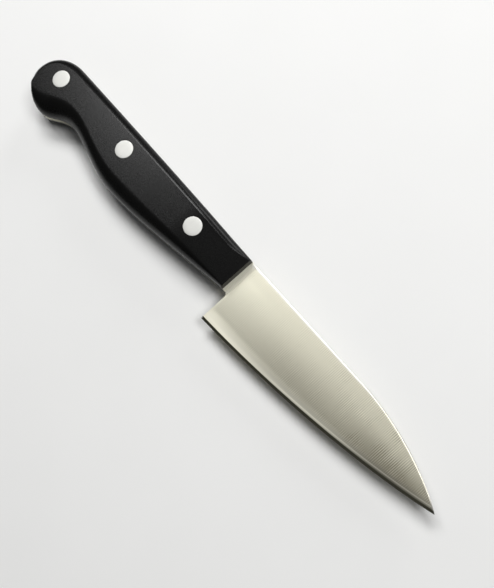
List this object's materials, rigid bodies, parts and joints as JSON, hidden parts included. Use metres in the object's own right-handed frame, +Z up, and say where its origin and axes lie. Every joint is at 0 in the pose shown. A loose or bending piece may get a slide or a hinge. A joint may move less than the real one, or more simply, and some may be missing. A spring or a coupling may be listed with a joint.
{
  "type": "paring knife",
  "caption": "Small double-bevelled kitchen knife with a three-layer steel blade, full tang and black riveted handle scales, lying on its side.",
  "frame": {"origin": "the middle of the box that holds the knife, on the surface that it lies on", "axes": "+X towards the tip, +Y towards the spine, +Z up, out of the blade's right face"},
  "size_m": [0.1966, 0.025, 0.0128],
  "materials": {
    "core_steel": "hard stainless core, bare at the ground edge",
    "cladding_steel": "fine straight brushing across the blade",
    "handle_plastic": "smooth matte black moulded resin",
    "rivet_metal": "satin, ground flush with the scales"
  },
  "bodies": {
    "root": {"blade_core": "core_steel", "blade_cladding_right": "cladding_steel", "blade_cladding_left": "cladding_steel", "handle_scale_right": "handle_plastic", "handle_scale_left": "handle_plastic", "rivet_socket_front": "rivet_metal", "rivet_post_front": "rivet_metal", "rivet_socket_middle": "rivet_metal", "rivet_post_middle": "rivet_metal", "rivet_socket_butt": "rivet_metal", "rivet_post_butt": "rivet_metal"}
  },
  "joints": []
}
